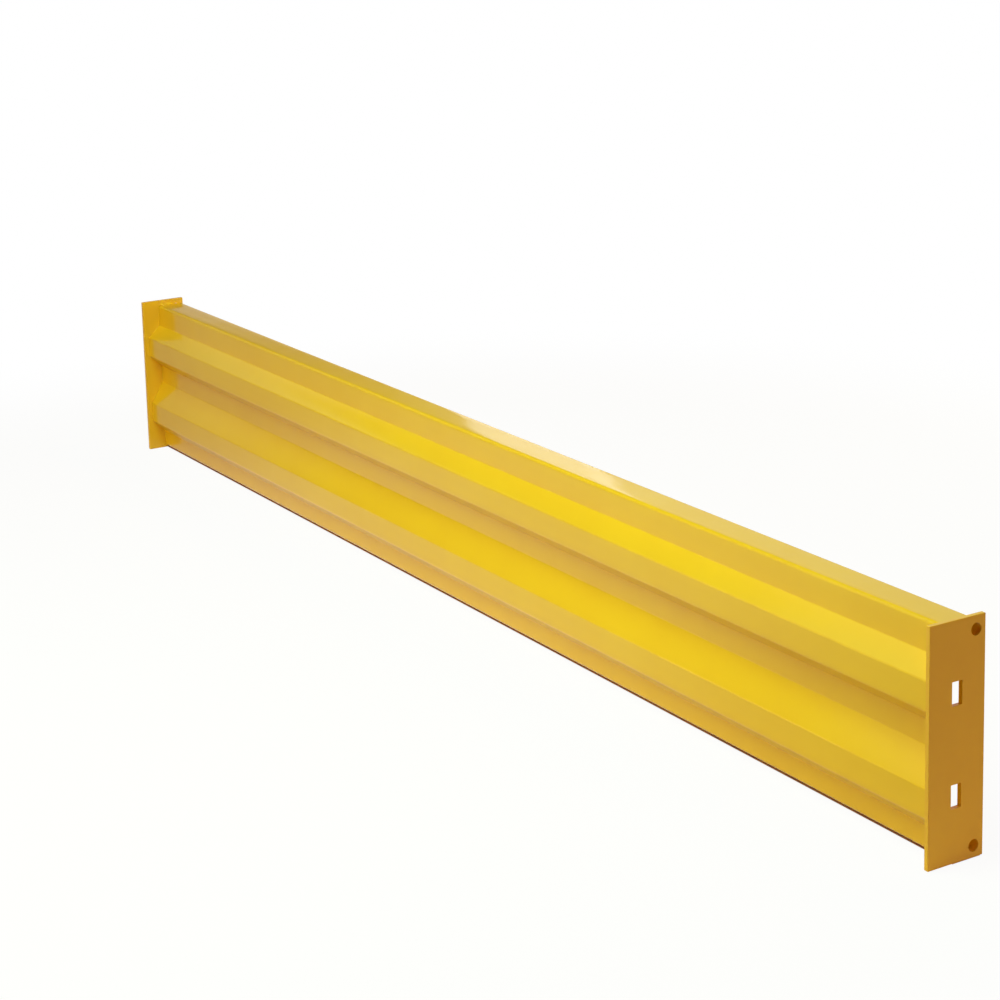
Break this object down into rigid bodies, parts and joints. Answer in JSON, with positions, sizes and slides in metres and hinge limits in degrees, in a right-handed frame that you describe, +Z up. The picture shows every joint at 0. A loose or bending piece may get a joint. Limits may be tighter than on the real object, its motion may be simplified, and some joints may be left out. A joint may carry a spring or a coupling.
{
  "type": "industrial guard rail",
  "caption": "Corrugated steel guard rail: a roll-formed sheet with two ribs between welded, slotted end plates, open at the back, for bolting between posts.",
  "frame": {"origin": "bottom centre of the whole rail, on the floor line under the end plates' bottom edges", "axes": "+X along the rail towards the right end plate, +Y from the ribbed front to the open back, +Z up"},
  "size_m": [2.921, 0.109, 0.381],
  "materials": {
    "yellow_sheet": "satin",
    "yellow_plate": "satin",
    "yellow_weld": "gloss"
  },
  "bodies": {
    "root": {"rail_panel": "yellow_sheet", "end_plate_left": "yellow_plate", "end_plate_right": "yellow_plate", "weld_top_left": "yellow_weld", "weld_top_right": "yellow_weld", "weld_bottom_left": "yellow_weld", "weld_bottom_right": "yellow_weld", "weld_upper_rib_left": "yellow_weld", "weld_upper_rib_right": "yellow_weld", "weld_valley_left": "yellow_weld", "weld_valley_right": "yellow_weld", "weld_lower_rib_left": "yellow_weld", "weld_lower_rib_right": "yellow_weld"}
  },
  "joints": []
}
